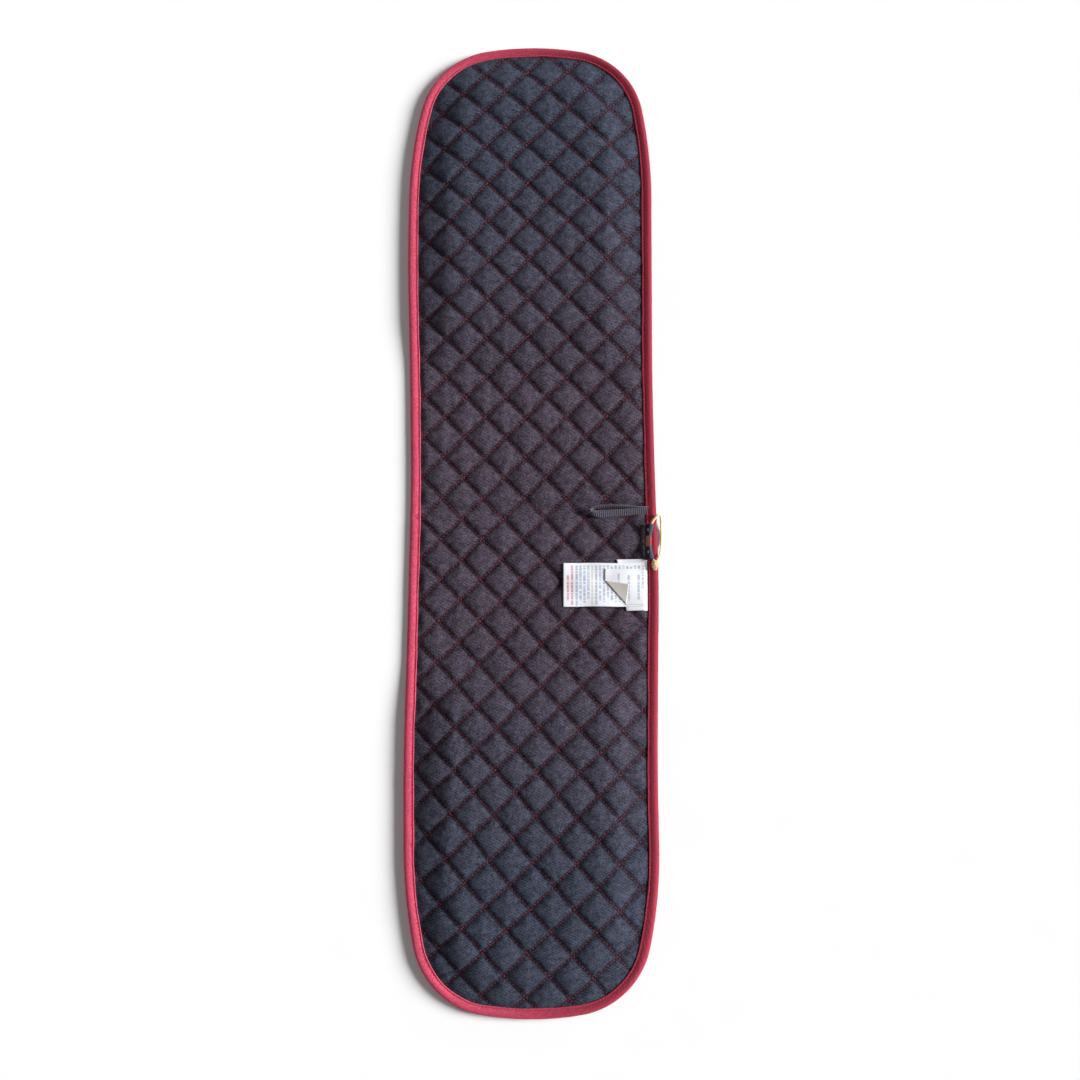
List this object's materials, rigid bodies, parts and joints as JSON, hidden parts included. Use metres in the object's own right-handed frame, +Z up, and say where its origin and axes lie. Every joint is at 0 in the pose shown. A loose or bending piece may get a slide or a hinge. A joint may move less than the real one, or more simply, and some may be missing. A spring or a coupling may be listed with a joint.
{
  "type": "double oven glove",
  "caption": "Long quilted double oven glove with bound edges, a hand pocket under each end, a hanging loop, care labels and a string on a side label.",
  "frame": {"origin": "middle of the footprint, on the surface the glove lies on with its pockets underneath", "axes": "+Z up through the plain quilted back, +Y along the glove, +X across it towards the edge that carries the hanging loop and the labels"},
  "size_m": [0.1945, 0.745, 0.0134],
  "materials": {
    "cloth": "dark navy cotton twill",
    "lining": "dark navy cotton twill",
    "wadding": "undyed heat wadding",
    "binding": "crimson cotton tape",
    "thread": "crimson sewing thread",
    "loop_tape": "ribbed navy tape",
    "label_satin": "white satin ribbon",
    "ribbon": "woven navy ribbon with a striped band",
    "string": "twisted straw-coloured string"
  },
  "bodies": {
    "lower_half": {"back_cloth_lower": "cloth", "wadding_lower": "wadding", "front_cloth_lower": "cloth", "edge_binding_lower": "binding", "binding_thread_lower": "thread", "pocket_rim_lower": "cloth"},
    "upper_half": {"back_cloth_upper": "cloth", "wadding_upper": "wadding", "front_cloth_upper": "cloth", "edge_binding_upper": "binding", "binding_thread_upper": "thread", "pocket_rim_upper": "cloth"},
    "lower_pocket": {"pocket_face_lower": "cloth", "pocket_wadding_lower": "wadding", "pocket_lining_lower": "lining", "mouth_binding_lower": "binding"},
    "upper_pocket": {"pocket_face_upper": "cloth", "pocket_wadding_upper": "wadding", "pocket_lining_upper": "lining", "mouth_binding_upper": "binding"},
    "hanging_loop": {"hanging_loop": "loop_tape"},
    "care_label_back": {"care_label_back": "label_satin"},
    "care_label_long": {"care_label_long": "label_satin"},
    "care_label_short": {"care_label_short": "label_satin"},
    "side_label": {"side_label": "ribbon"},
    "tag_string": {"tag_string": "string", "string_knot": "string"}
  },
  "joints": [
    {"name": "middle_fold", "type": "hinge", "parent": "lower_half", "child": "upper_half", "pos_m": [0, 0.009, 0.0095], "axis": [-1, 0, 0], "range_deg": [-175, 0]},
    {"name": "lower_pocket_mouth", "type": "hinge", "parent": "lower_half", "child": "lower_pocket", "pos_m": [0, -0.3632, 0.0006], "axis": [-1, 0, 0], "range_deg": [0, 12]},
    {"name": "upper_pocket_mouth", "type": "hinge", "parent": "upper_half", "child": "upper_pocket", "pos_m": [0, 0.3632, 0.0006], "axis": [1, 0, 0], "range_deg": [0, 12]},
    {"name": "hanging_loop_swing", "type": "hinge", "parent": "lower_half", "child": "hanging_loop", "pos_m": [0.0867, 0.0033, 0.008], "axis": [0, 1, 0], "range_deg": [0, 175]},
    {"name": "care_label_back_lift", "type": "hinge", "parent": "lower_half", "child": "care_label_back", "pos_m": [0.0867, -0.054, 0.0061], "axis": [0, 1, 0], "range_deg": [0, 60]},
    {"name": "care_label_long_lift", "type": "hinge", "parent": "care_label_back", "child": "care_label_long", "pos_m": [0.0867, -0.0536, 0.0061], "axis": [0, 1, 0], "range_deg": [0, 25]},
    {"name": "care_label_short_lift", "type": "hinge", "parent": "care_label_long", "child": "care_label_short", "pos_m": [0.0867, -0.0548, 0.0061], "axis": [0, 1, 0], "range_deg": [0, 25]},
    {"name": "side_label_lift", "type": "hinge", "parent": "lower_half", "child": "side_label", "pos_m": [0.0869, -0.0205, 0.006], "axis": [0, -1, 0], "range_deg": [0, 40]},
    {"name": "tag_string_swing", "type": "hinge", "parent": "side_label", "child": "tag_string", "pos_m": [0.0903, -0.0205, 0.0074], "axis": [0, 1, 0], "range_deg": [-60, 0]}
  ]
}
